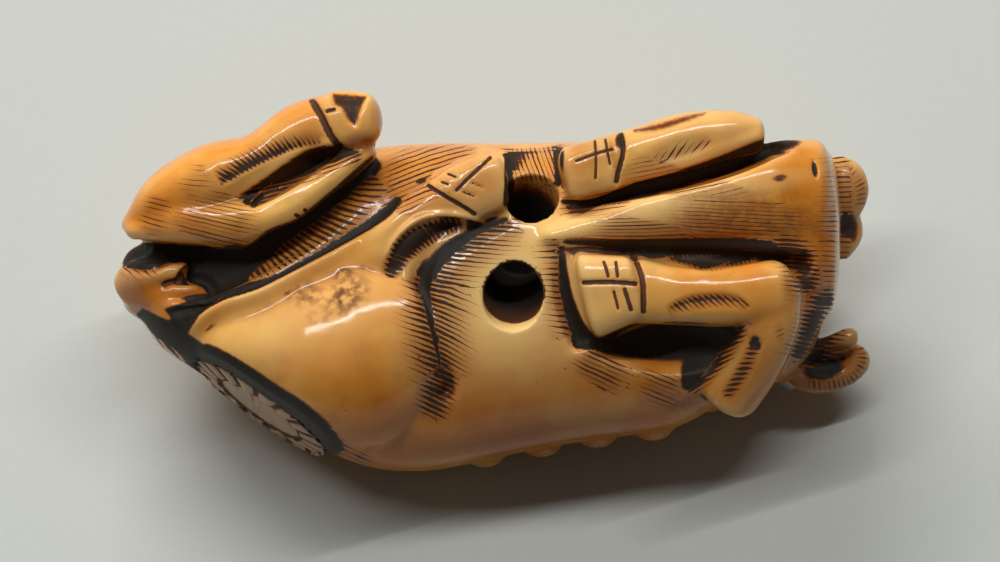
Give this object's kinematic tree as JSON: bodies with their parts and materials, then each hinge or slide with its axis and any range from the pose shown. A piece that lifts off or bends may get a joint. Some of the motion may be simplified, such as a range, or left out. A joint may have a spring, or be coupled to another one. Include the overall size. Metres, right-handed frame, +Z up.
{
  "type": "netsuke",
  "caption": "Carved recumbent ox netsuke, lying with its folded legs up, with a cord passage through the belly.",
  "frame": {"origin": "centre of the footprint, on the surface that the carving lies on", "axes": "+X from the rump to the ears, +Y away from the viewer across the folded legs, +Z up"},
  "size_m": [0.0602, 0.0254, 0.0263],
  "materials": {
    "stained_ivory": "polished, stained amber, with near-black stain left in the cuts"
  },
  "bodies": {
    "root": {"netsuke": "stained_ivory"}
  },
  "joints": []
}
